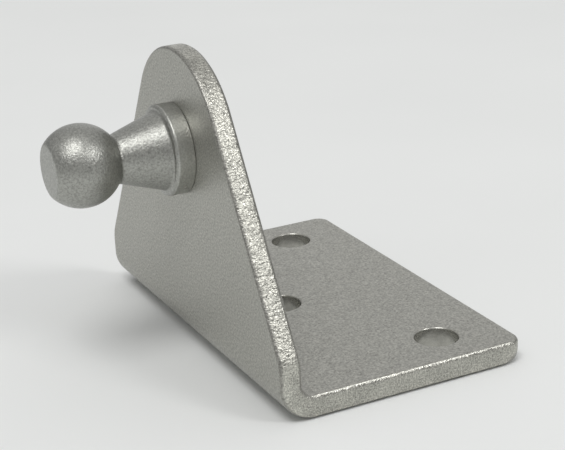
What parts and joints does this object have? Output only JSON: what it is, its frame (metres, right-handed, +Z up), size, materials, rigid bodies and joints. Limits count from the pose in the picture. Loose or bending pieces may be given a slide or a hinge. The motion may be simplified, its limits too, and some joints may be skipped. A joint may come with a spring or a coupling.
{
  "type": "gas spring ball bracket",
  "caption": "Folded steel angle bracket with a tapered upright that carries a riveted ball stud, for fixing the socket end of a gas spring to a lid or frame.",
  "frame": {"origin": "on the underside of the base, midway between the two outer screw holes", "axes": "+Z up, square to the base; Y along the fold; the upright and the ball are towards -X"},
  "size_m": [0.0489, 0.0508, 0.0382],
  "materials": {
    "sheet_steel": "matte grey sheet with fine grain and bright sheared edges",
    "stud_steel": "satin turned steel"
  },
  "bodies": {
    "root": {"bracket": "sheet_steel", "ball_stud": "stud_steel"}
  },
  "joints": []
}
